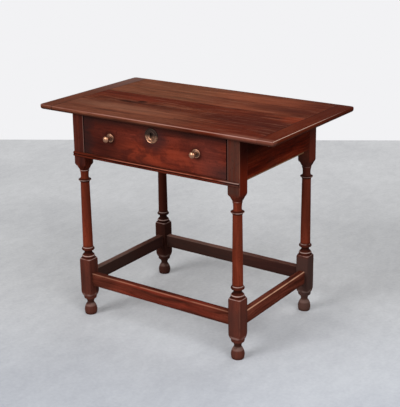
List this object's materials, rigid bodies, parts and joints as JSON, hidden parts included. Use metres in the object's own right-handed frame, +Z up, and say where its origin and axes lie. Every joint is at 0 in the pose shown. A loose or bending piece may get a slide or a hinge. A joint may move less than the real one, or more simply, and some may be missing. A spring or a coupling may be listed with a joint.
{
  "type": "tavern table",
  "caption": "Small rectangular table with a cleated board top, turned legs, a box stretcher and a lockable drawer that slides out at the front.",
  "frame": {"origin": "on the floor below the middle of the top", "axes": "+X to the right along the top, -Y to the drawer's side, +Z up"},
  "size_m": [0.874, 0.5047, 0.711],
  "materials": {
    "top_wood": "old polished patina, worn at the edges",
    "cleat_wood": "old polished patina, worn at the edges",
    "frame_wood": "old polished patina",
    "drawer_wood": "old polished patina, darker at the ends",
    "lining_wood": "dry and unpolished",
    "peg_wood": "old polished patina",
    "brass": "worn and tarnished",
    "iron": "dark wrought iron"
  },
  "bodies": {
    "frame": {"top_front_board": "top_wood", "top_middle_board": "top_wood", "top_rear_board": "top_wood", "top_left_cleat": "cleat_wood", "top_right_cleat": "cleat_wood", "leg_front_left": "frame_wood", "leg_front_right": "frame_wood", "leg_rear_left": "frame_wood", "leg_rear_right": "frame_wood", "left_rail": "frame_wood", "right_rail": "frame_wood", "rear_rail": "frame_wood", "drawer_rail": "frame_wood", "front_moulding": "frame_wood", "front_stretcher": "frame_wood", "rear_stretcher": "frame_wood", "left_stretcher": "frame_wood", "right_stretcher": "frame_wood", "left_runner": "lining_wood", "right_runner": "lining_wood", "left_guide": "lining_wood", "right_guide": "lining_wood", "drawer_stops": "lining_wood", "rail_pegs": "peg_wood", "stretcher_pegs": "peg_wood", "top_pegs": "peg_wood", "cleat_pegs": "peg_wood", "moulding_nails": "iron", "guide_nails": "iron"},
    "drawer": {"drawer_front": "drawer_wood", "drawer_left_side": "lining_wood", "drawer_right_side": "lining_wood", "drawer_back": "lining_wood", "drawer_bottom_left": "lining_wood", "drawer_bottom_middle": "lining_wood", "drawer_bottom_right": "lining_wood", "drawer_nails": "iron", "left_knob": "brass", "right_knob": "brass", "left_knob_rose": "brass", "right_knob_rose": "brass", "knob_nuts": "iron", "escutcheon": "brass", "escutcheon_pins": "brass", "lock_plate": "iron", "lock_case": "iron", "lock_key_pin": "iron", "lock_nails": "iron"},
    "bolt": {"lock_bolt": "iron"}
  },
  "joints": [
    {"name": "drawer_slide", "type": "slide", "parent": "frame", "child": "drawer", "axis": [0, -1, 0], "range_m": [0, 0.3]},
    {"name": "bolt_slide", "type": "slide", "parent": "drawer", "child": "bolt", "axis": [0, 0, 1], "range_m": [0, 0.008]}
  ]
}
